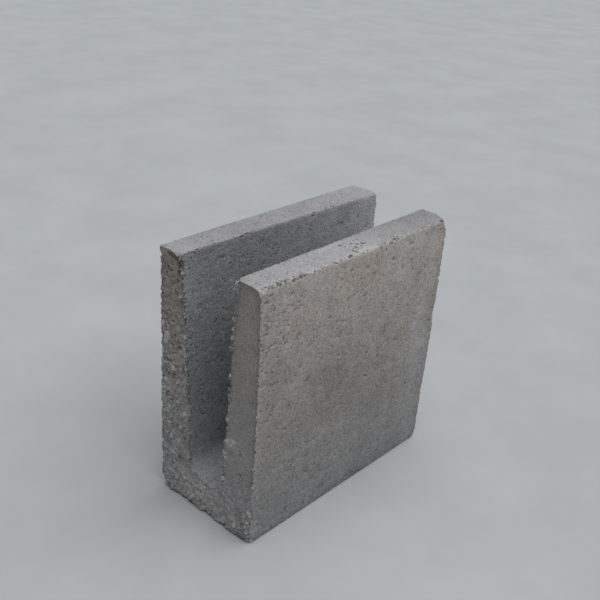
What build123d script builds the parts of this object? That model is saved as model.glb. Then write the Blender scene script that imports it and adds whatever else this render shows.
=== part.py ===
from build123d import *
import math
import os

# Concrete channel block: half of a bond-beam unit, cast in one piece, with a U-shaped section.
# It stands on its web, and the channel between its two walls is open at the top and at both ends.
# Millimetres. The origin is the centre of the bed face, +Z is up and the channel runs along Y.
# The near end, at -Y, is the broken one.

# Overall sizes
width = 90.0  # over the two walls
height = 190.0  # from the bed to the wall tops
length = 193.0  # along the channel, from the break's foremost arris to the far end's head

# Walls and channel: the channel narrows towards its floor, and a little from the near end to the far
left_wall_near = 19.2  # the left wall at its open edge, at the near end
left_wall_far = 24.0  # and at the far end
right_wall_near = 22.4
right_wall_far = 24.0
wall_base = 29.6  # each wall at the level of the channel's floor
web = 24.0  # concrete under the channel
channel_round = 16.0  # corner radius that turns the channel's floor into a trough

# Worn arrises along the block
right_top_arris = 2.4  # outer ones
left_top_arris = 1.0
inner_top_arris = 1.4
bed_arris = 1.8

# Near end: a hollow break, lumpy over the left wall and the web
near_hollow = 2.3  # how far the end sets back at mid height, inside the left wall's outer arris
right_set_back = 1.3  # how much further back the right wall's end lies towards its top
right_head_back = 1.5  # and what is worn off its last few millimetres
head_hollow = 1.6  # dip under the left wall's top edge
head_hollow_place = 9.0  # how far below the top it is deepest
head_hollow_spread = 5.5  # and how far it spreads
lip_hollow = 1.7  # dip in the web's end, left of the trough's lowest line
lip_hollow_place = -13.0  # where it is deepest, across the block
lip_hollow_spread = 11.0  # and how far it spreads
break_relief = 1.5  # how deep the lumps reach
lump_across = 17.0  # spacing of the lumps across the block
lump_up = 29.0  # spacing of the lumps up the block

# Far end: upright above, drawn back towards its foot, with shallow lumps
far_foot_back = 2.8  # how far the foot lies behind the head
far_lean_low = 15.0  # height below which it is fully drawn back
far_lean_high = 105.0  # and above which it is upright
far_relief = 0.7

# Smooth moulded panel sunk in the right wall's near end
panel_depth = 4.2  # its floor, measured back from the near end's foremost plane
panel_inner_rim = 1.8  # crumbly rim left along the channel
panel_outer_rim = 0.8  # thin rim left along the outer face
panel_foot_inner = 75.0  # height at which the panel begins, beside the channel
panel_foot_outer = 56.0  # and beside the outer face
panel_head = 1.0  # concrete left between the panel and the wall's top
panel_head_round = 8.0  # the panel's top corner on the outer side
panel_soft_round = 2.5  # its other corners
nose_back = 7.0  # how far back from its end the right wall's top is worn down
nose_drop = 2.2  # and how far down, at the end

# Chips: how deep each one bites, measured from the sharp corner towards the block's middle
scoop_radius = 34.0
near_top_inner_chip = 1.6
near_top_outer_chip = 1.2
near_left_foot_chip = 4.0
near_right_foot_chip = 3.6
far_right_top_chip = 5.0
far_left_top_outer_chip = 2.2
far_left_top_inner_chip = 1.8
far_right_foot_chip = 3.0
far_edge_chip = 1.8  # a bite from the right wall's outer far arris
far_edge_chip_place = 113.0  # its height
top_edge_chip = 1.8  # a bite from the right wall's outer top arris
top_edge_chip_place = 5.0  # where it lies along the block, from the middle

# Spacing of the points that carry the end faces, and how far those faces reach past the section
point_spacing = 6.0
face_margin = 8.0

half_width = width / 2
half_length = length / 2
channel_half_floor = half_width - wall_base
left_inner_near = half_width - left_wall_near  # from the middle to each wall's inner top edge
left_inner_far = half_width - left_wall_far
right_inner_near = half_width - right_wall_near
right_inner_far = half_width - right_wall_far


def smooth_step(start, end, value):
    """Rise from 0 at start to 1 at end, level at both."""
    t = min(max((value - start) / (end - start), 0.0), 1.0)
    return t * t * (3 - 2 * t)


def corners(outline, *places):
    """The corners of a flat outline that lie at the places given."""
    return [v for v in outline.vertices() if any(abs(Vector(v) - Vector(*p)) < 0.01 for p in places)]


def outer_section():
    """The block's outline across the channel, without the channel and with its worn arrises."""
    left_foot, right_foot = (-half_width, 0), (half_width, 0)
    left_head, right_head = (-half_width, height), (half_width, height)
    outline = make_face(Polyline(left_foot, right_foot, right_head, left_head, close=True))
    outline = fillet(corners(outline, right_head), right_top_arris)
    outline = fillet(corners(outline, left_head), left_top_arris)
    outline = fillet(corners(outline, left_foot, right_foot), bed_arris)
    return Plane.XZ * outline


def inner_face(inner_top, z):
    """How far an inner face lies from the middle at a height, where inner_top is that at the wall's top."""
    return channel_half_floor + (inner_top - channel_half_floor) * (z - web) / (height - web)


def channel_section(left_inner, right_inner):
    """The channel's outline with its trough, carried on above the walls."""
    above = height + face_margin
    left_foot, right_foot = (-channel_half_floor, web), (channel_half_floor, web)
    right_head = (inner_face(right_inner, above), above)
    left_head = (-inner_face(left_inner, above), above)
    outline = make_face(Polyline(left_foot, right_foot, right_head, left_head, close=True))

    # The two trough corners share the channel's floor, so each round may take half of it at most.
    slope = math.atan2(min(left_inner, right_inner) - channel_half_floor, height - web)
    largest_round = channel_half_floor * math.tan((math.pi / 2 + slope) / 2)
    return fillet(corners(outline, left_foot, right_foot), min(channel_round, 0.98 * largest_round))


def channel():
    """The open channel, between an outline before the near end and one behind the far end."""
    def between(near, far, y):
        return near + (far - near) * (y + half_length) / length

    outlines = []
    for y in (-half_length - face_margin, half_length + face_margin):
        left = between(left_inner_near, left_inner_far, y)
        right = between(right_inner_near, right_inner_far, y)
        outlines.append(Plane((0, y, 0), x_dir=(1, 0, 0), z_dir=(0, -1, 0)) * channel_section(left, right))
    return loft(outlines, ruled=True)


def lumps(x, z):
    """Uneven swells between 0 and 1, from waves that never line up."""
    across = 2 * math.pi * x / lump_across
    up = 2 * math.pi * z / lump_up
    swell = math.sin(across + 0.9 * math.sin(0.7 * up)) * math.sin(up + 0.6)
    swell += 0.7 * math.sin(0.43 * across - 1.31 * up + 1.7)
    return 0.5 + 0.5 * swell / 1.7


def bell(distance, spread):
    """1 at no distance, fading to 0 over a few spreads."""
    return math.exp(-((distance / spread) ** 2))


def near_setback(x, z):
    """How far the near end lies behind its foremost plane."""
    t = min(max(z / height, 0.0), 1.0)
    inside = smooth_step(-half_width, -left_inner_near, x)
    left_wall = 1 - smooth_step(-left_inner_near, right_inner_near, x)
    setback = near_hollow * 4 * t * (1 - t) * inside
    setback += right_set_back * t * (1 - left_wall)
    setback += right_head_back * smooth_step(height - nose_back, height, z) * (1 - left_wall)
    setback += head_hollow * left_wall * inside * bell(z - (height - head_hollow_place), head_hollow_spread)
    setback += lip_hollow * bell(math.hypot(x - lip_hollow_place, z - web), lip_hollow_spread)
    # The lumps die out towards the left wall's outer arris, and towards the right wall's smooth panel.
    low_part = 1 - smooth_step(0.5 * panel_foot_outer, panel_foot_outer, z)
    return setback + break_relief * inside * max(left_wall, low_part) * lumps(x, z)


def far_setback(x, z):
    """How far the far end lies behind its foremost plane."""
    lean = 1 - smooth_step(far_lean_low, far_lean_high, z)
    return far_foot_back * lean + far_relief * lumps(0.8 * x + half_width, z)


def end_waste(setback, outward):
    """Everything outside an end face whose depth setback gives; outward is -1 near and 1 far."""
    reach_x = half_width + face_margin
    low, high = -face_margin, height + face_margin
    outside = outward * (half_length + face_margin)
    columns = max(6, round(2 * reach_x / point_spacing))
    rows = max(6, round((high - low) / point_spacing))
    slices = []
    for row in range(rows + 1):
        z = low + (high - low) * row / rows
        across = [-reach_x + 2 * reach_x * column / columns for column in range(columns + 1)]
        front = Spline(*[(x, outward * (half_length - setback(x, z)), z) for x in across])
        back = Polyline(front @ 1, (reach_x, outside, z), (-reach_x, outside, z), front @ 0)
        slices.append(make_face([front, *back.edges()]))
    return loft(slices)


def end_panel():
    """The shallow pocket in the right wall's near end, round at its outer top corner."""
    top = height - panel_head
    outer = half_width - panel_outer_rim

    def inner_at(z):
        return inner_face(right_inner_near, z) + panel_inner_rim

    foot_inner = (inner_at(panel_foot_inner), panel_foot_inner)
    foot_outer = (outer, panel_foot_outer)
    head_outer = (outer, top)
    head_inner = (inner_at(top), top)
    outline = make_face(Polyline(foot_inner, foot_outer, head_outer, head_inner, close=True))
    outline = fillet(corners(outline, head_outer), min(panel_head_round, 0.8 * (outer - inner_at(top))))
    outline = fillet(corners(outline, foot_inner, foot_outer, head_inner), panel_soft_round)
    pocket = extrude(Plane.XZ * outline, amount=-2 * panel_depth)
    return Pos(0, -half_length - panel_depth, 0) * pocket


def worn_nose():
    """What is worn off the right wall's top, where it meets the near end: a wedge with a round back."""
    low_corner = Pos(-half_length, height - nose_drop)
    profile = low_corner * Rectangle(nose_back, 2 * nose_drop, align=Align.MIN)
    profile -= low_corner * Pos(nose_back, 0) * Ellipse(nose_back, nose_drop)
    wedge = extrude(Plane.YZ * profile, amount=right_wall_near + 2 * nose_drop)
    return Pos(right_inner_near - nose_drop, 0, 0) * wedge


def scoop(corner, outward, depth):
    """A shell-shaped bite that takes depth off a corner, with outward pointing out of the block."""
    direction = Vector(*outward).normalized()
    centre = Vector(*corner) + direction * (scoop_radius - depth)
    return Pos(*centre) * Sphere(scoop_radius)


def chips():
    near, far = -half_length, half_length
    return [
        scoop((right_inner_near, near, height), (-0.35, -0.45, 0.85), near_top_inner_chip),
        scoop((half_width, near, height), (0.38, -0.83, 0.41), near_top_outer_chip),
        scoop((-half_width, near, 0), (-0.7, -0.6, -0.25), near_left_foot_chip),
        scoop((half_width, near, 0), (0.6, -0.7, -0.35), near_right_foot_chip),
        scoop((half_width, far, height), (0.31, 0.87, 0.4), far_right_top_chip),
        scoop((-half_width, far, height), (-0.55, 0.65, 0.5), far_left_top_outer_chip),
        scoop((-left_inner_far, far, height), (0.2, 0.6, 0.75), far_left_top_inner_chip),
        scoop((half_width, far - far_foot_back, 0), (0.55, 0.75, -0.3), far_right_foot_chip),
        scoop((half_width, far, far_edge_chip_place), (0.6, 0.8, 0), far_edge_chip),
        scoop((half_width, top_edge_chip_place, height), (0.7, 0, 0.7), top_edge_chip),
    ]


def u_block():
    block = extrude(outer_section(), amount=half_length, both=True)
    block -= channel()
    long_top_edges = [e for e in block.edges() if e.center().Z > height - 0.01 and e.length > half_length]
    channel_edges = sorted(long_top_edges, key=lambda e: abs(e.center().X))[:2]
    block = fillet(channel_edges, inner_top_arris)
    block -= end_waste(near_setback, -1)
    block -= end_waste(far_setback, 1)
    block -= worn_nose()
    block -= end_panel()
    for chip in chips():
        block -= chip
    return block


os.makedirs("parts", exist_ok=True)
block = u_block()
export_step(block, "parts/u_block.step")
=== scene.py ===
import math
import random

import bmesh
import bpy
import numpy as np
from mathutils import Matrix, Vector, noise
from mathutils.bvhtree import BVHTree
from mathutils.kdtree import KDTree


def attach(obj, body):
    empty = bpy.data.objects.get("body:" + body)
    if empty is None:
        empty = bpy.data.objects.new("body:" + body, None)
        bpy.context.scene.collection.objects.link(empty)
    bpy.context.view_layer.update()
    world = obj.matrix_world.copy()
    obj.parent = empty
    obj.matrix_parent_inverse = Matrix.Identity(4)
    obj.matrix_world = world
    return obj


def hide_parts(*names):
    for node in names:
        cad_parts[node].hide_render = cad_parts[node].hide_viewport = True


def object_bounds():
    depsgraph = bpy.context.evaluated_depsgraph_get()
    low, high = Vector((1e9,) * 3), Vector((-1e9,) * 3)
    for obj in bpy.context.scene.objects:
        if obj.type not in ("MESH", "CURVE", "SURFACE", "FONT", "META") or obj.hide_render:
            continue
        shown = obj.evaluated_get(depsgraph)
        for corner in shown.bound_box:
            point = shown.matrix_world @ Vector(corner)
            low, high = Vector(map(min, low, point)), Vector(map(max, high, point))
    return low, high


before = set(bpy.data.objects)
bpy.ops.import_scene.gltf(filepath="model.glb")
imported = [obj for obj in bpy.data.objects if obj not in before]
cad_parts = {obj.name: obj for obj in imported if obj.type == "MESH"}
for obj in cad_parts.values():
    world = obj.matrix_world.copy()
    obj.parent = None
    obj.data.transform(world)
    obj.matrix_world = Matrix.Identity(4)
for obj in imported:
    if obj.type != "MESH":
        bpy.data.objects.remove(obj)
cad_low, cad_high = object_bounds()

MM = 0.001

# The block's places, in millimetres, read from the CAD box where it gives them
LEFT, NEAR, BED = (c / MM for c in cad_low)
RIGHT, FAR, TOP = (c / MM for c in cad_high)
WEB = 24.0
CHANNEL_FLOOR = 15.4  # half the channel's width at the level of its floor
LEFT_INNER = (25.8, 21.0)  # from the middle to the left wall's inner top arris, near and far
RIGHT_INNER = (22.6, 21.0)

# The smooth panel in the right wall's near end
PANEL_DEPTH = 4.2
PANEL_FOOT_INNER = 75.0  # where it begins, beside the channel
PANEL_FOOT_OUTER = 56.0  # and beside the outer face
PANEL_OUTER = RIGHT - 0.8
PANEL_HEAD = TOP - 1.0
PANEL_ROUND = 8.0
RIM_SETBACK = 1.4  # how far behind the end the panel's rim stands
LEDGE = 70.5  # height of the small ledge at the panel's foot

# The mesh is carved at this cell size, in millimetres, and then thinned to this many triangles
CELL = 0.55
TRIANGLES = 190000

# Camera, solved from the block's corners in the photograph
CAMERA_PLACE = (0.35669, -0.41774, 0.40914)
CAMERA_YAW = math.radians(-41.105)
CAMERA_PITCH = math.radians(26.413)
CAMERA_ROLL = math.radians(-4.071)
CAMERA_LENS = 52.07


def inner(side, z, y=NEAR):
    """How far a wall's inner face lies from the middle, in millimetres; side is -1 left and 1 right."""
    near, far = LEFT_INNER if side < 0 else RIGHT_INNER
    top = near + (far - near) * (y - NEAR) / (FAR - NEAR)
    return CHANNEL_FLOOR + (top - CHANNEL_FLOOR) * (z - WEB) / (TOP - WEB)


def linear(red, green, blue):
    """A colour written in screen values from 0 to 255, as Blender's linear colour."""
    return tuple(((c / 255 + 0.055) / 1.055) ** 2.4 for c in (red, green, blue)) + (1.0,)


# Marks on the surface

class Mark:
    """A ball that is pressed into the surface, or a stone that stands out of it."""

    def __init__(self, place, outward, radius, depth, squash=(1, 1, 1), tone=0.5):
        # depth is how deep the bite goes, or how high the stone stands, in metres as the rest
        self.place = Vector(place)
        self.outward = np.array(outward)
        self.radius = radius
        self.depth = min(depth, 0.9 * radius)
        self.squash = np.array(squash)
        self.tone = tone


class Marks:
    """Collects the bites and the stones of the whole block, with one seeded source of chance."""

    def __init__(self, skin):
        self.skin = skin
        self.rng = random.Random(11)
        self.bites = []
        self.stones = []
        self.pebbles = []  # pale stones that no bite may cut

    def pick(self, span):
        return self.rng.uniform(*span)

    def uneven(self):
        """A squash that makes a ball into a stone of no regular shape."""
        return tuple(self.rng.uniform(0.75, 1.35) for _ in range(3))

    def at(self, group, point, outward, radius, depth, squash=(1, 1, 1)):
        """One mark on the surface nearest to a point in millimetres."""
        place = self.skin.find_nearest(Vector(point) * MM)[0]
        direction = Vector(outward).normalized()
        group.append(Mark(place, direction, radius * MM, depth * MM, squash, self.rng.random()))

    def along(self, group, points, outward, spacing, radii, depths, drift=0.6):
        """Marks spaced unevenly along an arris that runs through points."""
        for start, end in zip(points, points[1:]):
            start, end = Vector(start), Vector(end)
            length = (end - start).length
            place = self.rng.uniform(0, spacing)
            while place < length:
                point = start.lerp(end, place / length)
                stray = Vector([self.rng.uniform(-drift, drift) for _ in range(3)])
                lean = Vector(outward).normalized() + 0.5 * stray
                radius = self.pick(radii)
                share = (radius - radii[0]) / (radii[1] - radii[0]) + self.rng.uniform(-0.3, 0.3)
                depth = depths[0] + (depths[1] - depths[0]) * min(1, max(0, share))
                self.at(group, point + stray, lean, radius, depth, self.uneven())
                place += spacing * self.rng.uniform(0.35, 1.65)

    def scatter(self, group, count, low, high, facing, radii, depths, keep=None, squash=None):
        """Marks thrown on the surface from inside a box, against the direction that facing points to."""
        facing = Vector(facing)
        found = tries = 0
        while found < count and tries < 60 * count:
            tries += 1
            point = Vector([self.rng.uniform(a, b) for a, b in zip(low, high)])
            if keep and not keep(point):
                continue
            place, normal, _, _ = self.skin.ray_cast(point * MM, -facing)
            if place is None or normal.dot(facing) < 0.6:
                continue
            # Small marks are commoner than large ones
            radius = radii[0] + (radii[1] - radii[0]) * self.rng.random() ** 1.6
            depth = self.pick(depths) * radius
            shape = squash or self.uneven()
            group.append(Mark(place, normal, radius * MM, depth * MM, shape, self.rng.random()))
            found += 1


# Single marks of the near end where the photograph shows them, as x, z and radius in millimetres

PEBBLES = [
    (-39.4, 125.8, 2.5), (-33.4, 161, 1.2), (-43, 134.7, 1.8), (-23.6, 130.2, 1.3), (-23, 116.7, 1.3),
    (-34.1, 103, 1.4), (-29.6, 77.4, 2.0), (-24.1, 69.6, 1.9), (-41, 92, 1.5), (-36, 47, 1.6),
    (22, 167.4, 1.2), (22, 163, 1.3), (21.6, 155.7, 1.4), (21, 149.7, 1.5), (20.2, 121.1, 1.6),
    (19.3, 95.3, 1.2), (18.9, 88.6, 1.7), (18, 62.5, 2.4), (18.6, 58.5, 1.9), (17.2, 40, 1.9),
    (44.5, 102.3, 0.9), (43.5, 62.1, 1.1), (44.5, 47.6, 1.2), (43.5, 23.7, 1.2), (30, 8, 1.6),
    (23.6, 187, 1.6), (22.8, 183.5, 1.4), (-31, 92, 1.3), (-27, 58, 1.5), (-33, 34, 1.4),
    (-39.6, 123.6, 2.1), (-39.2, 127.8, 1.9),
]
CLEFTS = [
    (-2, 18.3, 1.5), (4.5, 15.5, 2.0), (-18, 26, 1.8), (20, 12, 1.6), (-30, 20, 1.9), (31, 22, 1.5),
    (-36, 60, 1.8), (-31, 84, 2.0), (-29, 146, 1.6), (-37.5, 129.8, 2.0), (-39.2, 107.3, 2.6),
    (-30.8, 104.5, 2.3), (-36, 175, 1.8), (-30.8, 161, 1.9), (-42.5, 149, 1.5), (-33, 138.5, 1.6),
    (-33.5, 121, 1.9), (-41.5, 114.6, 1.8), (-28, 88, 1.6), (-36.7, 97.5, 2.0), (-37, 80, 1.6),
    (-34, 66, 1.7), (-40, 44, 1.8), (-29, 48, 1.6), (-35, 28, 1.8),
]
RIM_STONES = [(-21, 104, 1.6), (20.6, 142, 1.9), (-24, 96, 1.8)]
ARRIS_NOTCHES = [
    (44.7, 124.2, 1.7), (44.5, 111.4, 1.4), (44.4, 75.6, 1.6), (44.5, 54.4, 1.3), (44.4, 134, 1.2),
]
HOLLOW_UNDER_LIP = [
    (-37, 186.5, 1.5), (-34, 185.8, 1.9), (-31, 184.2, 2.3), (-29, 181, 2.3), (-28.6, 176, 2.0),
]


def near_end(marks):
    """The break: stones, pits and torn arrises of the end that faces the camera."""
    bites, stones, pebbles, rng = marks.bites, marks.stones, marks.pebbles, marks.rng
    ahead = NEAR - 5
    toward = (0, -1, 0)

    def on_break(point):
        if point.z > TOP - 12 + rng.uniform(-4, 4):
            return rng.random() < 0.25
        if point.x < CHANNEL_FLOOR:
            return True
        limit = PANEL_FOOT_OUTER - 2 if rng.random() < 0.35 else 22
        return point.z < limit + rng.uniform(-16, 4)

    def on_panel(point):
        beside_rim = point.x > inner(1, point.z) + 3
        return beside_rim and PANEL_FOOT_OUTER - 20 < point.z < PANEL_HEAD - 3

    whole = ((LEFT, ahead, BED), (RIGHT, ahead, TOP))
    marks.scatter(stones, 150, *whole, toward, (0.8, 2.6), (0.25, 0.5), on_break)
    marks.scatter(bites, 430, *whole, toward, (0.6, 1.9), (0.55, 0.9), on_break)

    # The crumbling corner at the foot of the right wall
    corner = ((24, ahead, BED), (RIGHT, ahead, 24))
    marks.scatter(stones, 16, *corner, toward, (0.8, 2.2), (0.3, 0.6))
    marks.scatter(bites, 34, *corner, toward, (0.7, 1.8), (0.6, 0.9))
    marks.scatter(pebbles, 6, *corner, toward, (0.7, 1.5), (0.3, 0.5))

    # Fine pits of the panel
    marks.scatter(bites, 90, *whole, toward, (0.4, 0.75), (0.4, 0.7), on_panel)

    # Crumbly rim between the panel and the channel
    rim = [(inner(1, z), NEAR + 1.5, z) for z in (36, 120, TOP - 4)]
    marks.along(bites, rim, (-0.75, -0.65, 0), 3.0, (0.9, 2.1), (0.5, 1.4))
    marks.along(bites, rim, (-0.4, -0.9, 0), 2.2, (0.6, 1.3), (0.4, 1.0), drift=1.0)
    marks.along(stones, rim, (-0.7, -0.7, 0.1), 3.2, (0.8, 1.6), (0.3, 0.8), drift=0.8)

    # The left wall's rim opposite
    rim = [(-inner(-1, z), NEAR + 1.5, z) for z in (36, 120, TOP - 3)]
    marks.along(bites, rim, (0.6, -0.8, 0), 2.4, (1.0, 2.4), (0.7, 1.8))
    marks.along(bites, rim, (0.3, -0.95, 0), 1.8, (0.6, 1.3), (0.4, 1.1), drift=1.0)
    marks.along(stones, rim, (0.5, -0.85, 0.1), 2.6, (0.7, 1.5), (0.3, 0.9), drift=0.8)
    marks.along(pebbles, rim, (0.4, -0.8, 0.3), 6.0, (0.5, 1.0), (0.2, 0.45), drift=0.9)

    # Small dark holes between the crumbs of the panel's rim
    rim = [(inner(1, z) + 0.6, NEAR + 1, z) for z in (80, 182)]
    marks.along(bites, rim, (-0.35, -0.95, 0), 4.5, (0.6, 1.1), (0.6, 1.0), drift=0.5)

    # Outer arrises, mild on both sides so that they stay straight
    arris = [(RIGHT, NEAR + 1.5, 6), (RIGHT, NEAR + 1.5, TOP - 10)]
    marks.along(bites, arris, (0.75, -0.65, 0), 2.8, (0.6, 1.6), (0.25, 0.85))
    marks.along(bites, arris, (0.75, -0.65, 0), 12, (4.0, 8.0), (0.25, 0.8), drift=0.3)
    marks.along(stones, arris, (0.5, -0.85, 0.1), 5.0, (0.5, 1.1), (0.2, 0.5), drift=0.4)
    arris = [(LEFT, NEAR, 6), (LEFT, NEAR, TOP - 6)]
    marks.along(bites, arris, (-0.7, -0.7, 0), 3.0, (1.0, 3.0), (0.4, 1.5))

    # Foot, with gaps under it
    foot = [(LEFT, NEAR + 1, BED), (RIGHT - 10, NEAR + 1, BED)]
    marks.along(bites, foot, (0, -0.6, -0.8), 6.5, (2.4, 5.5), (0.8, 2.4))
    foot = [(LEFT, NEAR + 1, BED), (RIGHT, NEAR + 1, BED)]
    marks.along(bites, foot, (0, -0.8, -0.6), 2.2, (0.7, 1.9), (0.3, 1.1))

    # The left wall's head: a fine lip, with a hollow under it beside the channel
    lip = [(LEFT, NEAR, TOP), (-LEFT_INNER[0], NEAR, TOP)]
    marks.along(bites, lip, (0, -0.7, 0.7), 2.6, (0.5, 1.2), (0.15, 0.4))
    for x, z, radius in HOLLOW_UNDER_LIP:
        point = (x, NEAR + 1, z)
        marks.at(bites, point, (0.1, -1, -0.25), radius, 0.8 * radius, (1.1, 1, 0.8))

    # The lip over the panel
    front = NEAR + RIM_SETBACK
    lip = [(27, front, TOP - 1.5), (38, front, TOP - 2.5), (43, NEAR + 2, TOP - 5)]
    marks.along(bites, lip, (0, -0.8, 0.6), 2.0, (0.4, 0.9), (0.15, 0.5), drift=0.4)
    marks.along(stones, lip, (0, -0.8, 0.6), 3.0, (0.5, 1.0), (0.2, 0.45), drift=0.4)
    marks.along(pebbles, lip, (0, -0.7, 0.7), 2.8, (0.5, 0.9), (0.2, 0.4), drift=0.4)

    # Single marks
    ahead_and_up = (0, -0.95, 0.3)
    for x, z, radius in PEBBLES:
        squash = (1.15, 1, rng.uniform(0.7, 1.1))
        marks.at(pebbles, (x, NEAR + 1.5, z), ahead_and_up, radius, 0.5 * radius, squash)
    for x, z, radius in RIM_STONES:
        marks.at(stones, (x, NEAR + 2, z), ahead_and_up, radius, 0.6 * radius, marks.uneven())
    for x, z, radius in ARRIS_NOTCHES:
        marks.at(bites, (x, NEAR + 1.5, z), (0.6, -0.8, 0), radius, 0.8 * radius)
    for x, z, radius in CLEFTS:
        point = (x, NEAR + 2, z)
        marks.at(bites, point, (0, -1, 0.2), 0.85 * radius, 0.6 * radius, (0.42, 1, 1.3))


def long_arrises(marks):
    """Wear along the wall tops and the bed, heaviest on the right wall's outer arris by the break."""
    bites = marks.bites
    begin, end = NEAR + 7, FAR - 3
    worn = NEAR + 42  # where the heavy wear ends

    def line(x, z, start=begin, stop=end):
        return [(x, start, z), (x, stop, z)]

    up_right, between = (0.6, 0, 0.8), (0.7, 0, 0.7)
    marks.along(bites, line(RIGHT, TOP - 1, begin, worn), up_right, 2.1, (0.7, 2.2), (0.45, 1.5))
    crumbs = line(44, TOP - 1.5, NEAR + 4, worn - 12)
    marks.along(marks.pebbles, crumbs, between, 3.2, (0.5, 1.1), (0.25, 0.5))
    marks.along(bites, line(RIGHT, TOP), between, 10, (3.0, 6.0), (0.3, 0.8), drift=0.3)
    crumbs = line(44, TOP - 1, begin, worn)
    marks.along(marks.stones, crumbs, up_right, 4.0, (0.6, 1.1), (0.2, 0.5))
    marks.along(bites, line(RIGHT, TOP - 1, worn, end), up_right, 5.5, (0.6, 1.7), (0.15, 0.6))
    marks.along(bites, line(LEFT, TOP), (-0.6, 0, 0.8), 3.2, (0.6, 1.6), (0.2, 0.6))
    for side in (-1, 1):
        wear = 1.0 if side > 0 else 0.6
        fine, wide = (0.2 * wear, 0.75 * wear), (0.35 * wear, 0.8 * wear)
        edge = [(side * inner(side, TOP, y), y, TOP) for y in (begin, end)]
        marks.along(bites, edge, (-side * 0.6, 0, 0.8), 3.0 / wear, (0.6, 1.6), fine, drift=0.4)
        marks.along(bites, edge, (-side * 0.7, 0, 0.7), 9.0, (3.0, 6.0), wide, drift=0.3)
        foot = line(side * RIGHT, BED)
        marks.along(bites, foot, (side * 0.7, 0, -0.7), 3.6, (0.8, 2.4), (0.3, 1.1))


def far_end(marks):
    """A milder break, with torn arrises."""
    bites, stones = marks.bites, marks.stones
    behind = FAR + 5
    low, high = (LEFT, behind, BED), (RIGHT, behind, TOP)
    marks.scatter(stones, 90, low, high, (0, 1, 0), (0.8, 2.6), (0.14, 0.3))
    marks.scatter(bites, 260, low, high, (0, 1, 0), (0.6, 1.5), (0.4, 0.75))
    for side in (-1, 1):
        line = [(side * RIGHT, FAR, 3), (side * RIGHT, FAR, TOP - 5)]
        marks.along(bites, line, (side * 0.7, 0.7, 0), 2.8, (0.7, 2.2), (0.3, 1.1))
        line = [(side * inner(side, z, FAR), FAR, z) for z in (42, TOP - 2)]
        marks.along(bites, line, (-side * 0.7, 0.7, 0), 2.8, (0.7, 1.7), (0.3, 0.8))
        line = [(side * inner(side, TOP, FAR), FAR, TOP), (side * RIGHT, FAR, TOP - 2)]
        marks.along(bites, line, (0, 0.7, 0.7), 2.4, (0.7, 1.8), (0.3, 0.8))
    marks.along(bites, [(LEFT, FAR, BED), (RIGHT, FAR, BED)], (0, 0.7, -0.7), 3.4, (0.8, 2.4), (0.3, 1.1))


def face_pits(marks):
    """Pits of the cast faces: crowded by the near top corner, few elsewhere."""
    bites, rng = marks.bites, marks.rng
    beside = RIGHT + 5

    def crowded(point):
        from_end, from_top = point.y - NEAR, TOP - point.z
        corner = math.exp(-((from_end / 26) ** 2)) * math.exp(-((from_top - 30) / 30) ** 2)
        near_strip = 0.5 * math.exp(-from_end / 6)
        far_strip = 0.4 * math.exp(-(FAR - point.y) / 5)
        return rng.random() < 0.07 + 0.9 * corner + near_strip + far_strip

    low, high = (beside, NEAR, BED), (beside, FAR, TOP)
    marks.scatter(bites, 620, low, high, (1, 0, 0), (0.5, 1.2), (0.6, 0.9), crowded, (1.0, 0.62, 1.3))
    low, high = (-beside, NEAR, BED), (-beside, FAR, TOP)
    marks.scatter(bites, 220, low, high, (-1, 0, 0), (0.45, 1.0), (0.4, 0.75))
    low, high = (LEFT, NEAR, -5), (RIGHT, FAR, -5)
    marks.scatter(bites, 120, low, high, (0, 0, -1), (0.5, 1.2), (0.4, 0.75))

    # Wall tops, with one pitted patch towards the right wall's outer arris
    for side in (-1, 1):
        edges = sorted((side * inner(side, TOP), side * RIGHT))
        low, high = (edges[0], NEAR, TOP + 5), (edges[1], FAR, TOP + 5)
        marks.scatter(bites, 40, low, high, (0, 0, 1), (0.35, 0.8), (0.4, 0.7))
    low, high = (28, -6, TOP + 5), (44, 11, TOP + 5)
    marks.scatter(bites, 22, low, high, (0, 0, 1), (0.9, 2.0), (0.7, 0.9))
    for y, radius in [(-87, 1.3), (-83, 1.0), (-79, 1.1), (-75, 1.4), (-70, 0.9), (-65, 1.2), (-58, 1.0)]:
        point = (42.5 + rng.uniform(-0.8, 0.8), y, TOP)
        marks.at(bites, point, (0.3, 0, 1), radius, 0.8 * radius)


def channel_pits(marks):
    """Pits of the channel's walls, wider along the block than they are high."""
    rng = marks.rng
    for side, count in ((-1, 480), (1, 240)):
        found = 0
        while found < count:
            y, z = rng.uniform(NEAR, FAR), rng.uniform(WEB + 16, TOP)
            along = (y - NEAR) / (FAR - NEAR)
            if rng.random() < 0.8 * along:
                continue
            place, normal, _, _ = marks.skin.ray_cast(Vector((0, y, z)) * MM, Vector((side, 0, 0)))
            if place is None:
                continue
            radius = (0.5 + 0.7 * rng.random() ** 1.5) * (1 - 0.3 * along)
            squash = (1, rng.uniform(0.55, 0.95), 1.3)
            depth = rng.uniform(0.65, 0.9) * radius
            marks.bites.append(Mark(place, normal, radius * MM, depth * MM, squash, rng.random()))
            found += 1

    # The part of the left wall that shows most has fine dents that run along it
    low, high = (0, NEAR + 1, 70), (0, NEAR + 62, TOP - 3)
    marks.scatter(marks.bites, 420, low, high, (1, 0, 0), (0.35, 0.8), (0.6, 0.9), squash=(1, 0.6, 1.4))
    marks.scatter(marks.pebbles, 90, low, high, (1, 0, 0), (0.4, 0.75), (0.2, 0.35), squash=(1, 0.7, 1.2))


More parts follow.
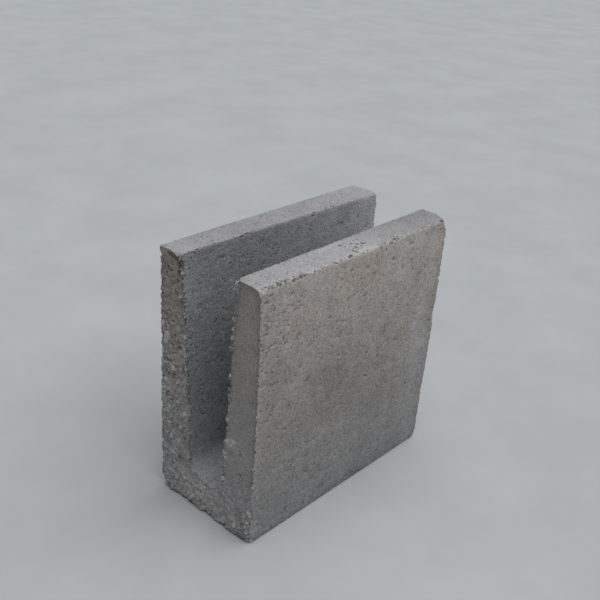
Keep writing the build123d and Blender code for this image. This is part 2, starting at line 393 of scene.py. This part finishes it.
def top_corner(marks):
    """Dark pits and pale crumbs beside the right wall's near top corner, as x, y and radius."""
    pits = [
        (41.3, -91, 1.2), (41.8, -88.2, 1.5), (42.2, -85, 1.2), (42.4, -78, 1.3), (42.8, -72.5, 1.5),
    ]
    for x, y, radius in pits:
        marks.at(marks.bites, (x, y, TOP), (0.3, 0, 1), radius, 0.9 * radius, (1.35, 0.95, 1))
    for x, y, radius in [(42.3, -93.6, 1.3), (40.5, -86.8, 1.0), (43.4, -82, 1.1), (43.8, -75.5, 1.0)]:
        marks.at(marks.pebbles, (x, y, TOP - 1), (0.4, -0.3, 1), radius, 0.5 * radius)


# Mesh of the block

def welded(source):
    """The CAD node's mesh with its seams closed."""
    bm = bmesh.new()
    bm.from_mesh(source.data)
    bmesh.ops.remove_doubles(bm, verts=bm.verts, dist=1e-6)
    return bm


def with_modifier(mesh, kind, **settings):
    """A new mesh: the given one with a modifier applied."""
    holder = bpy.data.objects.new("holder", mesh)
    bpy.context.scene.collection.objects.link(holder)
    modifier = holder.modifiers.new("step", kind)
    for key, value in settings.items():
        setattr(modifier, key, value)
    depsgraph = bpy.context.evaluated_depsgraph_get()
    result = bpy.data.meshes.new_from_object(holder.evaluated_get(depsgraph))
    bpy.data.objects.remove(holder)
    bpy.data.meshes.remove(mesh)
    return result


def vertex_arrays(mesh):
    """The mesh's points and normals as arrays."""
    count = len(mesh.vertices)
    points = np.zeros(count * 3)
    mesh.vertices.foreach_get("co", points)
    normals = np.zeros(count * 3, np.float32)
    mesh.vertex_normals.foreach_get("vector", normals)
    return points.reshape(-1, 3), normals.reshape(-1, 3).astype(float)


def set_points(mesh, points):
    mesh.vertices.foreach_set("co", points.ravel())
    mesh.update()


def smooth_step(start, end, values):
    """0 before start and 1 after end, with a smooth climb between."""
    t = np.clip((values - start) / (end - start), 0, 1)
    return t * t * (3 - 2 * t)


def scaled(points, size, offset):
    """The points as vectors in which size millimetres are 1, moved so that no two noises are alike."""
    shift = Vector((offset, offset * 1.7, offset * 0.3))
    scale = 1 / (size * MM)
    return [Vector(p) * scale + shift for p in points]


def noise_at(points, chosen, size, octaves=1, offset=0.0):
    """Noise between about -1 and 1 where chosen is true, with swells size millimetres across."""
    values = np.zeros(len(points))
    places = scaled(points[chosen], size, offset)
    if octaves == 1:
        values[chosen] = [noise.noise(p) for p in places]
    else:
        values[chosen] = [noise.fractal(p, 0.9, 2.1, octaves) for p in places]
    return values


def cobbles(points, chosen, size, offset=0.0):
    """Rounded lumps between 0 and 1, with clefts where they meet."""
    values = np.zeros(len(points))
    found = []
    for p in scaled(points[chosen], size, offset):
        distances, _ = noise.voronoi(p)
        found.append(distances[1] - distances[0])
    values[chosen] = np.clip(np.array(found) / 0.55, 0, 1) ** 0.6
    return values


def press(points, tree, marks, jitter, side):
    """Sink the bites (side 1) or raise the stones (side -1), each along its own outward direction.

    Returns how far each point moved, and the tone of the mark that moved it.
    """
    moved = np.zeros(len(points))
    tone = np.full(len(points), 0.5)
    for mark in marks:
        reach = 1.3 * mark.radius / mark.squash.min()
        near = [index for _, index, _ in tree.find_range(mark.place, reach)]
        if not near:
            continue
        centre = np.array(mark.place) + side * mark.outward * (mark.radius - mark.depth)
        offset = points[near] - centre
        along = offset @ mark.outward
        aside = (offset - along[:, None] * mark.outward) * mark.squash
        across = (aside ** 2).sum(axis=1)
        ball = mark.radius * jitter[near]
        chord = np.sqrt(np.maximum(ball ** 2 - across, 0))
        shift = np.where(across < ball ** 2, np.clip(chord + side * along, 0, 2.2 * mark.depth), 0)
        points[near] -= side * shift[:, None] * mark.outward
        moved[near] += shift
        tone[near] = np.where(shift > 0, mark.tone, tone[near])
    return moved, tone


def panel_edge(x, z):
    """How far a point of the smooth panel lies from its outer edge and its head, in millimetres."""
    to_side, to_head = PANEL_OUTER - x, PANEL_HEAD - z
    in_corner = (to_side < PANEL_ROUND) & (to_head < PANEL_ROUND)
    to_arc = PANEL_ROUND - np.hypot(PANEL_ROUND - to_side, PANEL_ROUND - to_head)
    return np.where(in_corner, to_arc, np.minimum(to_side, to_head))


def patch(u, v, place, spread):
    """A soft round patch of a face: 1 at its middle and 0 far away."""
    return np.exp(-((u - place[0]) / spread[0]) ** 2 - ((v - place[1]) / spread[1]) ** 2)


def band(v, place, spread):
    """A soft band across a face: 1 along its middle and 0 far away."""
    return patch(v, v, (place, place), (spread, spread))


# Soft patches of the right face, as share, place and spread, both along the block and up it. It is pale
# under the top, at the far end, at the near arris and in some smears, and darker in the middle
FACE_PATCHES = [
    (0.15, (10, 182), (90, 30)),
    (-0.16, (-20, 105), (24, 28)),
    (0.20, (-30, 63), (13, 7)),
    (0.18, (-12, 30), (9, 4)),
    (0.27, (78, 100), (10, 85)),
    (-0.14, (34, 96), (9, 6)),
    (0.17, (89, 176), (8, 18)),
    (-0.13, (90, 120), (5, 14)),
    (0.15, (25, 36), (42, 13)),
    (0.09, (48, 128), (16, 24)),
    (-0.11, (-72, 124), (13, 16)),
    (-0.07, (-35, 178), (16, 10)),
    (0.28, (NEAR + 2, 98), (4, 34)),
    (0.22, (NEAR + 3, 10), (5, 12)),
]


def lightness(points, normals, zones):
    """How much lighter or darker than plain the concrete is, as a share: stains and wear, with painted
    shade and painted highlights.
    """
    x, y, z = points.T
    along = (y - NEAR) / (FAR - NEAR)
    face = (normals[:, 0] > 0.6) & (x > RIGHT - 4)
    light = face * sum(share * patch(y, z, place, spread) for share, place, spread in FACE_PATCHES)

    # The walls' tops, and the worn arris over the right face
    head = (normals[:, 2] > 0.5) & (z > TOP - 4)
    light += head * (x > 0) * (0.15 - 0.29 * smooth_step(0.47, 0.87, along) - 0.10 * band(y, NEAR, 22))
    light += head * (x < 0) * (0.10 * smooth_step(45, 75, y) - 0.08 * band(y, -33, 36))
    light += head * (x < 0) * 0.09 * band(y, -92, 20)
    light += head * 0.13 * patch(x, y, (38, 3), (6, 9))
    light += head * (x > 34) * 0.12 * patch(x, y, (43, NEAR + 4), (6, 8))
    light += 0.08 * (x > RIGHT - 3) * (z > TOP - 3) * (y > NEAR + 30)

    # The near end: its foot, the corner under the panel, the left wall's end with painted shade under its
    # lip, and the ledge with a painted highlight on its top and painted shade beneath it
    on_end = (y < NEAR + 8) * (normals[:, 1] < -0.4)
    light += on_end * (0.10 * (1 - smooth_step(30, 60, z)) + 0.14 * patch(x, z, (-14, 12), (18, 13)))
    light -= on_end * smooth_step(12, 20, x) * 0.13 * band(z, 37, 20)
    # Painted shade under the left wall's lip
    light -= on_end * (x < 0) * 0.18 * smooth_step(169, 179, z)
    left_end = on_end * (x < -20)
    light += left_end * (0.12 * band(z, 120, 20) + 0.09 * band(z, 78, 18) + 0.10 * band(z, 100, 45))
    # Painted highlight on the ledge's top, and painted shade beneath it
    light += on_end * 0.25 * patch(x, z, (20.5, LEDGE + 2), (4, 1.5))
    light -= on_end * 0.16 * patch(x, z, (26, LEDGE - 3.5), (3, 1.2))

    # The panel, shaded along its outer edge and its head, and the pale lip over it
    light -= 0.06 * zones.panel * band(z, 105, 50)
    light -= 0.28 * zones.panel * np.exp(-np.maximum(panel_edge(x, z), 0) / 0.9)
    on_lip = (x > 26) * (z > TOP - 9) * (normals[:, 2] > 0.3)
    light += on_lip * 0.16 * np.exp(-np.abs(y - NEAR - RIM_SETBACK) / 1.2)

    # The channel: its floor, and the left wall, which gets lighter towards the far end
    on_wall = smooth_step(WEB + 4, WEB + 30, z)
    light += zones.channel * 0.07 * (1 - on_wall)
    left_wall = zones.channel * (x < 0)
    light += left_wall * on_wall * (-0.15 + 0.34 * smooth_step(0.2, 0.95, along))
    light += left_wall * on_wall * 0.13 * smooth_step(0.78, 0.93, along)
    light += left_wall * 0.13 * patch(y, z, (-89, 163), (8, 12))
    light -= left_wall * 0.06 * patch(y, z, (-70, 168), (14, 22))

    # Painted shade along the bed, where the block meets the floor
    light -= 0.45 * (1 - smooth_step(0.3, 2.6, z))
    return light


def worn_corner(points):
    """Wear of the near end that is too large for a mark: rolled lips, a worn rim and the panel's foot."""
    x, y, z = points.T.copy()
    foot_end = smooth_step(PANEL_FOOT_OUTER + 4, PANEL_FOOT_INNER + 9, z)
    run_out = 1.8 * smooth_step(27, 37, x) * (1 - foot_end)
    on_foot = (x > 27) & (x < RIGHT - 0.4) & (y < NEAR + 6) & (z > 30) & (run_out > 0)
    y = np.where(on_foot, np.minimum(y, NEAR + PANEL_DEPTH - run_out), y)

    # Beside the channel the foot is a ledge that slopes to the front
    ledge = NEAR + 0.2 + np.where(z > LEDGE, 1.3 * (z - LEDGE), 0.3 * (LEDGE - z))
    beside = smooth_step(15, 17, x) * (1 - smooth_step(23, 28, x))
    share = beside * (np.abs(z - LEDGE - 0.5) < 6.5) * (y < NEAR + 6)
    y = y + share * (np.minimum(y, ledge) - y)

    # The panel's rim beside the channel has lost its corner near the head
    lost = 1.2 * smooth_step(130, 150, z)
    lost = lost + 3.0 * np.exp(-((z - 173) / 9) ** 2) + 1.6 * np.exp(-((z - TOP) / 5) ** 2)
    from_corner = (x - inner(1, z)) + (y - NEAR - RIM_SETBACK)
    at_rim = (x > 14) & (y < NEAR + 8) & (z > 130)
    shift = np.where(at_rim, np.maximum(lost - from_corner, 0) / 2, 0)
    x, y = x + shift, y + shift

    # and its corner with the wall's top is cut off
    from_tip = (x - inner(1, z)) + (y - NEAR - RIM_SETBACK) + (TOP - z)
    shift = np.where((x > 14) & (y < NEAR + 10), np.maximum(5.4 - from_tip, 0) / 3, 0)
    x, y, z = x + shift, y + shift, z - shift

    # The near bottom corner is rounded off
    shift = np.maximum(8 - (RIGHT - x) - (y - NEAR) - (z - BED), 0) / 3
    x, y, z = x - shift, y + shift, z + shift

    # Each wall's top falls to an arch, steeply on one side and hardly at all on the other
    shortest = 6
    arches = [
        (x > 16, PANEL_OUTER, NEAR + RIM_SETBACK, 14),
        (x < -14, -LEFT_INNER[0] - 0.8, NEAR + 0.3, 8),
    ]
    for wall, edge, front, longest in arches:
        to_side = np.clip(x - (edge - PANEL_ROUND), 0, PANEL_ROUND)
        arch = PANEL_HEAD - PANEL_ROUND + np.sqrt(PANEL_ROUND ** 2 - to_side ** 2)
        reach = shortest + (longest - shortest) * to_side / PANEL_ROUND
        forward = np.clip((front + reach - y) / reach, 0, 1)
        rolled = TOP - (TOP - arch - 0.5) * (1 - np.sqrt(1 - forward ** 2))
        sunk = wall & (forward > 0) & (z > rolled)
        z = np.where(sunk, rolled + 0.02 * (z - rolled), z)
    return np.stack([x, y, z], axis=1)


class Zones:
    """What each point of the surface belongs to, as shares from 0 to 1."""

    def __init__(self, points, normals):
        x, y, z = (points[:, i] / MM for i in range(3))
        faces_near = smooth_step(0.3, 0.75, -normals[:, 1]) * (y < NEAR + 12)
        faces_far = smooth_step(0.3, 0.75, normals[:, 1]) * (y > FAR - 12)

        # The near end is torn on the left and low down, and smooth in the panel and by the left head
        ragged = z + 5 * np.sin(x / 4)
        low_part = 1 - smooth_step(PANEL_FOOT_OUTER - 24, PANEL_FOOT_OUTER + 4, ragged)
        left_part = 1 - smooth_step(-8, 12, x)
        smooth_head = smooth_step(TOP - 20, TOP - 6, z + 0.35 * (x - LEFT) - 3)
        self.broken = faces_near * np.maximum(left_part, low_part) * (1 - 0.75 * smooth_head)
        self.panel = faces_near * (1 - np.maximum(left_part, low_part))
        self.milder = 0.5 * faces_far

        # Under the panel the break is smoother
        self.calm = 1 - 0.6 * smooth_step(14, 22, x) * smooth_step(14, 30, z)
        self.rough = np.maximum(self.broken * self.calm, self.milder)

        # The strip of the other faces that borders on a break
        near_rim = (1 - smooth_step(NEAR + 2.5, NEAR + 7, y)) * (1 - faces_near)
        far_rim = smooth_step(FAR - 5, FAR - 1.5, y) * (1 - faces_far)
        self.rim = np.maximum(near_rim, far_rim) * (np.abs(normals[:, 2]) < 0.7)

        self.wall_top = smooth_step(0.3, 0.8, normals[:, 2]) * (z > TOP - 6)
        half = np.where(x < 0, inner(-1, z, y), inner(1, z, y))
        in_channel = (np.abs(x) < half + 1.2) & (z > WEB - 2) & (np.abs(normals[:, 1]) < 0.5)
        self.channel = in_channel * (1 - self.wall_top)
        from_rim = x - inner(1, z)
        crumbly = (x > 12) * (1 - smooth_step(1.5, 3.5, from_rim)) * (y < NEAR + 5) * (from_rim > -1)
        self.crumbly = crumbly * (1 - self.wall_top)

        # A grey film lies on the right face at its far end and its near arris
        face = (normals[:, 0] > 0.6) & (x > RIGHT - 4)
        film = 0.4 * patch(y, z, (80, 120), (15, 75)) + 0.3 * patch(y, z, (NEAR + 2, 95), (5, 40))
        self.film = film * face


def break_relief(points, zones, torn):
    """The relief of the breaks, in millimetres: lumps, layers in the web, and grain."""
    bent = points.copy()
    bend = 0.0016  # in metres, as the points
    bent[:, 0] += bend * noise_at(points, torn, 4.5, offset=5.2)
    bent[:, 2] += bend * noise_at(points, torn, 4.5, offset=8.8)
    layered = bent * np.array([0.55, 1, 1.2])
    z = points[:, 2] / MM
    laid = np.where((z < WEB + 4)[:, None], layered, bent)
    lumps = 0.75 * noise_at(points, torn, 14, octaves=3, offset=3.1)
    relief = lumps + 1.40 * cobbles(laid, torn, 7.5, offset=1.9)
    grain = 0.42 * noise_at(points, torn, 1.6, octaves=2, offset=9.4)
    relief += 0.80 * cobbles(laid, torn, 3.2, offset=6.2) + grain
    return relief * (0.7 + 0.3 * smooth_step(30, 70, z))


def paint(mesh, points, normals, zones, relief, pressed):
    """Store what the material needs to know of each point."""
    raised, hollow, pebble, tone = pressed
    light = lightness(points / MM, normals, zones)
    # Painted shade in the hollows of the break's relief and a painted highlight on its lumps
    light += 0.12 * zones.broken * zones.calm * np.clip(relief - 1.45, -1.2, 1)
    pale = smooth_step(0.05, 0.35, pebble / MM)
    stone = smooth_step(0.1, 0.4, raised / MM) * (1 - np.clip(hollow / MM, 0, 1))
    layers = {
        "broken": np.clip(zones.broken + zones.milder + 0.8 * zones.crumbly, 0, 1),
        "panel": zones.panel,
        "wall_top": zones.wall_top,
        "grey": np.clip(zones.channel + zones.film, 0, 1),
        "light": light,
        # Where painted shade darkens the pits
        "pit_shade": np.clip(hollow / (0.8 * MM), 0, 1) * (1 - pale),
        "stone": stone,
        "pebble": pale,
        "tone": tone,
    }
    for name, values in layers.items():
        attribute = mesh.attributes.new(name, "FLOAT", "POINT")
        attribute.data.foreach_set("value", np.asarray(values, np.float32))


def block_mesh(source):
    """The block's mesh: the CAD solid in fine cells, worn, torn and marked, then thinned."""
    cad = welded(source)
    skin = BVHTree.FromBMesh(cad)
    marks = Marks(skin)
    for make in (near_end, long_arrises, far_end, face_pits, channel_pits, top_corner):
        make(marks)

    plain = bpy.data.meshes.new("block_plain")
    cad.to_mesh(plain)
    cad.free()
    mesh = with_modifier(plain, "REMESH", mode="VOXEL", voxel_size=CELL * MM)
    points, _ = vertex_arrays(mesh)
    points = np.array([skin.find_nearest(Vector(p))[0] for p in points])
    set_points(mesh, worn_corner(points / MM) * MM)
    points, normals = vertex_arrays(mesh)

    # Relief of the breaks, crumbs beside them and a slight wave everywhere else
    zones = Zones(points, normals)
    relief = break_relief(points, zones, zones.rough > 0.02)
    everywhere = np.ones(len(points), bool)
    crumb = 0.24 * noise_at(points, zones.rim > 0.02, 2.6, octaves=2, offset=4.4)
    wave = 0.10 * noise_at(points, everywhere, 38, offset=1.3)
    rough, rim = zones.rough, zones.rim
    depth = rough * (relief - 1.8) + rim * (crumb - 0.12) + (1 - rough) * (wave - 0.10)
    points += normals * (depth * MM)[:, None]

    # Marks, and nothing outside the CAD box
    tree = KDTree(len(points))
    for index, point in enumerate(points):
        tree.insert(point, index)
    tree.balance()
    jitter = 1 + 0.3 * noise_at(points, everywhere, 1.3, offset=7.7)
    raised, tone = press(points, tree, marks.stones, jitter, -1)
    hollow, _ = press(points, tree, marks.bites, jitter, 1)
    pebble, _ = press(points, tree, marks.pebbles, jitter, -1)
    points = np.clip(points, np.array(cad_low), np.array(cad_high))
    set_points(mesh, points)
    paint(mesh, points, normals, zones, relief, (raised, hollow, pebble, tone))

    triangles = len(mesh.polygons) * 2
    mesh = with_modifier(mesh, "DECIMATE", ratio=TRIANGLES / triangles, use_collapse_triangulate=True)
    mesh.shade_smooth()
    return mesh


# Materials

class Nodes:
    """A material's node tree, with short calls for the nodes it uses."""

    def __init__(self, name):
        self.material = bpy.data.materials.new(name)
        self.material.use_nodes = True
        self.tree = self.material.node_tree
        self.shader = self.tree.nodes["Principled BSDF"]
        self.place = self.add("ShaderNodeTexCoord").outputs["Object"]

    def add(self, kind, **settings):
        node = self.tree.nodes.new(kind)
        for key, value in settings.items():
            setattr(node, key, value)
        return node

    def link(self, value, socket):
        if isinstance(value, bpy.types.NodeSocket):
            self.tree.links.new(value, socket)
        else:
            socket.default_value = value

    def stretched(self, factors):
        node = self.add("ShaderNodeVectorMath", operation="MULTIPLY")
        self.link(self.place, node.inputs[0])
        node.inputs[1].default_value = factors
        return node.outputs["Vector"]

    def noise(self, size, detail=2.0, roughness=0.5, stretch=None):
        """Noise from 0 to 1, whose swells are size millimetres across."""
        node = self.add("ShaderNodeTexNoise")
        node.inputs["Scale"].default_value = 1 / (size * MM)
        node.inputs["Detail"].default_value = detail
        node.inputs["Roughness"].default_value = roughness
        self.link(self.stretched(stretch) if stretch else self.place, node.inputs["Vector"])
        return node.outputs["Fac"]

    def cells(self, size, stretch=None):
        """The distance from the nearest of scattered points, size millimetres apart."""
        node = self.add("ShaderNodeTexVoronoi")
        node.inputs["Scale"].default_value = 1 / (size * MM)
        self.link(self.stretched(stretch) if stretch else self.place, node.inputs["Vector"])
        return node.outputs["Distance"]

    def attribute(self, name):
        return self.add("ShaderNodeAttribute", attribute_name=name).outputs["Fac"]

    def ramp(self, value, start, end, low=0.0, high=1.0):
        """Map value from start..end to low..high, held at both ends."""
        node = self.add("ShaderNodeMapRange", clamp=True)
        node.interpolation_type = "SMOOTHSTEP"
        self.link(value, node.inputs["Value"])
        node.inputs["From Min"].default_value = start
        node.inputs["From Max"].default_value = end
        node.inputs["To Min"].default_value = low
        node.inputs["To Max"].default_value = high
        return node.outputs["Result"]

    def math(self, operation, first, second=0.0):
        node = self.add("ShaderNodeMath", operation=operation)
        self.link(first, node.inputs[0])
        self.link(second, node.inputs[1])
        return node.outputs["Value"]

    def mix(self, factor, first, second, blend="MIX"):
        node = self.add("ShaderNodeMix", data_type="RGBA", blend_type=blend)
        self.link(factor, node.inputs["Factor"])
        self.link(first, [s for s in node.inputs if s.name == "A" and s.type == "RGBA"][0])
        self.link(second, [s for s in node.inputs if s.name == "B" and s.type == "RGBA"][0])
        return [o for o in node.outputs if o.type == "RGBA"][0]

    def grey(self, value):
        """A number as a grey colour."""
        node = self.add("ShaderNodeCombineColor")
        for channel in node.inputs:
            self.link(value, channel)
        return node.outputs["Color"]

    def shade(self, colour, value):
        """colour multiplied by a number."""
        return self.mix(1.0, colour, self.grey(value), "MULTIPLY")


def concrete():
    """Cast concrete, from what paint() stored at each point and from noise."""
    n = Nodes("cast_concrete")
    broken, panel = n.attribute("broken"), n.attribute("panel")
    wall_top, grey = n.attribute("wall_top"), n.attribute("grey")
    pit_shade, stone, tone = n.attribute("pit_shade"), n.attribute("stone"), n.attribute("tone")

    # Cast skin: warm above, darker and cooler towards the bed, and bluish along it
    colour = n.mix(n.ramp(n.noise(55, 3, 0.55), 0.35, 0.65), linear(160, 151, 145), linear(167, 160, 156))
    height = n.add("ShaderNodeSeparateXYZ")
    n.link(n.place, height.inputs[0])
    uneven = n.math("ADD", height.outputs["Z"], n.math("MULTIPLY", n.noise(45, 2), 0.05))
    colour = n.mix(n.ramp(uneven, 0.03, 0.20, 0.80, 0.0), colour, linear(122, 124, 126))
    colour = n.mix(n.ramp(height.outputs["Z"], 0.006, 0.034, 0.45, 0.0), colour, linear(131, 139, 148))

    # Channel and film, wall tops, panel and break, each with its own tone
    colour = n.mix(grey, colour, linear(146, 149, 152))
    colour = n.mix(wall_top, colour, linear(156, 155.2, 157.6))
    smooth = n.mix(n.ramp(height.outputs["Z"], 0.08, 0.16), linear(151, 148, 147), linear(152, 148, 144))
    colour = n.mix(panel, colour, smooth)
    torn = n.mix(n.ramp(height.outputs["Z"], 0.03, 0.15), linear(152, 150, 151), linear(150, 145, 143))
    coarse = n.ramp(n.noise(2.0, 3, 0.7), 0.3, 0.7, 0.80, 1.19)
    colour = n.mix(broken, colour, n.shade(torn, coarse))
    # Stains and wear, with the painted shade and highlights that lightness() holds
    colour = n.shade(colour, n.math("ADD", n.attribute("light"), 1.0))

    # Speckle, a little of it in hue, and faint layers laid down by the press
    mottle = n.ramp(n.noise(10, 5, 0.62), 0.3, 0.7, 0.92, 1.075)
    sand = n.ramp(n.noise(1.3, 3, 0.75), 0.3, 0.7, 0.72, 1.26)
    layers = n.ramp(n.noise(3.5, 2, 0.5, (0.12, 0.12, 1.0)), 0.3, 0.7, 0.965, 1.03)
    colour = n.shade(n.shade(n.shade(colour, mottle), sand), layers)
    fine = n.ramp(n.noise(0.9, 2, 0.7), 0.3, 0.7, 0.84, 1.16)
    colour = n.mix(n.math("MULTIPLY", grey, 0.9), colour, n.shade(colour, fine))
    hue = n.mix(n.ramp(n.noise(2.2, 2, 0.6), 0.4, 0.6), (1.03, 0.985, 0.985, 1), (0.975, 1.01, 1.0, 1))
    colour = n.mix(1.0, colour, hue, "MULTIPLY")

    # Stones of the break, each with its own tone, painted shade in pits, and pale pebbles
    pale = n.mix(tone, linear(128, 123, 118), linear(172, 169, 165))
    colour = n.mix(n.math("MULTIPLY", stone, 0.5), colour, pale)
    # Painted shade inside the pits, strongest on the wall tops
    depth = n.math("MULTIPLY", pit_shade, n.ramp(wall_top, 0.0, 1.0, 0.58, 0.72))
    colour = n.mix(depth, colour, linear(74, 71, 69))
    colour = n.mix(n.math("MULTIPLY", n.attribute("pebble"), 0.7), colour, linear(186, 182, 178))

    # Pale grains, and painted shade in pores, in some places only
    chosen = n.ramp(n.noise(3.3), 0.54, 0.60)
    grain = n.math("MULTIPLY", n.ramp(n.cells(1.9), 0.16, 0.30, 1.0, 0.0), chosen)
    colour = n.mix(n.math("MULTIPLY", grain, 0.42), colour, linear(208, 206, 203))
    chosen = n.ramp(n.noise(4.3), 0.50, 0.57)
    pore = n.math("MULTIPLY", n.ramp(n.cells(2.1, (1.0, 0.6, 1.25)), 0.15, 0.26, 1.0, 0.0), chosen)
    colour = n.mix(n.math("MULTIPLY", pore, 0.62), colour, linear(70, 68, 67))

    n.link(colour, n.shader.inputs["Base Color"])
    n.shader.inputs["Roughness"].default_value = 0.93
    n.shader.inputs["Specular IOR Level"].default_value = 0.25

    # Grain too fine for the mesh
    relief = n.math("ADD", n.noise(1.4, 3, 0.65), n.math("MULTIPLY", n.noise(4, 3, 0.6), 0.8))
    relief = n.math("SUBTRACT", relief, n.math("MULTIPLY", pore, 0.7))
    bump = n.add("ShaderNodeBump")
    bump.inputs["Strength"].default_value = 0.9
    bump.inputs["Distance"].default_value = 0.65 * MM
    n.link(relief, bump.inputs["Height"])
    n.link(bump.outputs["Normal"], n.shader.inputs["Normal"])
    return n.material


def floor_material():
    n = Nodes("pale_floor")
    colour = n.mix(n.ramp(n.noise(120, 4, 0.6), 0.3, 0.7), linear(175, 179, 182), linear(182, 186, 189))
    n.link(colour, n.shader.inputs["Base Color"])
    n.shader.inputs["Roughness"].default_value = 0.9
    n.shader.inputs["Specular IOR Level"].default_value = 0.2
    return n.material


# Stage, lights and camera

def floor():
    mesh = bpy.data.meshes.new("floor")
    half = 6.0
    corners = [(-half, -half, 0), (half, -half, 0), (half, half, 0), (-half, half, 0)]
    mesh.from_pydata(corners, [], [(0, 1, 2, 3)])
    plane = bpy.data.objects.new("floor", mesh)
    bpy.context.scene.collection.objects.link(plane)
    plane.data.materials.append(floor_material())


def lights():
    """An even sky, and a wide soft light from above, a little to the right."""
    world = bpy.data.worlds.new("soft_world")
    world.use_nodes = True
    world.node_tree.nodes["Background"].inputs["Color"].default_value = (0.94, 0.98, 1.0, 1)
    world.node_tree.nodes["Background"].inputs["Strength"].default_value = 0.30
    bpy.context.scene.world = world
    data = bpy.data.lights.new("overhead", "SUN")
    data.energy = 2.2
    data.angle = math.radians(75)
    data.color = (1.0, 0.99, 0.975)
    sun = bpy.data.objects.new("overhead", data)
    sun.rotation_mode = "QUATERNION"
    sun.rotation_quaternion = Vector((-0.32, -0.12, -1)).to_track_quat("-Z", "Y")
    bpy.context.scene.collection.objects.link(sun)


def camera():
    forward = Vector((
        math.sin(CAMERA_YAW) * math.cos(CAMERA_PITCH),
        math.cos(CAMERA_YAW) * math.cos(CAMERA_PITCH),
        -math.sin(CAMERA_PITCH),
    ))
    level = Vector((math.cos(CAMERA_YAW), -math.sin(CAMERA_YAW), 0))
    down = forward.cross(level)
    right = math.cos(CAMERA_ROLL) * level + math.sin(CAMERA_ROLL) * down
    up = math.sin(CAMERA_ROLL) * level - math.cos(CAMERA_ROLL) * down
    data = bpy.data.cameras.new("camera")
    data.sensor_width = 36
    data.lens = CAMERA_LENS
    obj = bpy.data.objects.new("camera", data)
    turn = Matrix((right, up, -forward)).transposed()
    obj.matrix_world = Matrix.Translation(CAMERA_PLACE) @ turn.to_4x4()
    bpy.context.scene.collection.objects.link(obj)
    bpy.context.scene.camera = obj


bpy.context.scene.view_settings.view_transform = "Standard"
camera()
lights()
floor()

block = bpy.data.objects.new("concrete_block", block_mesh(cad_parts["u_block"]))
bpy.context.scene.collection.objects.link(block)
block.data.materials.append(concrete())
print("triangles", len(block.data.polygons))
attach(block, "root")
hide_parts("u_block")
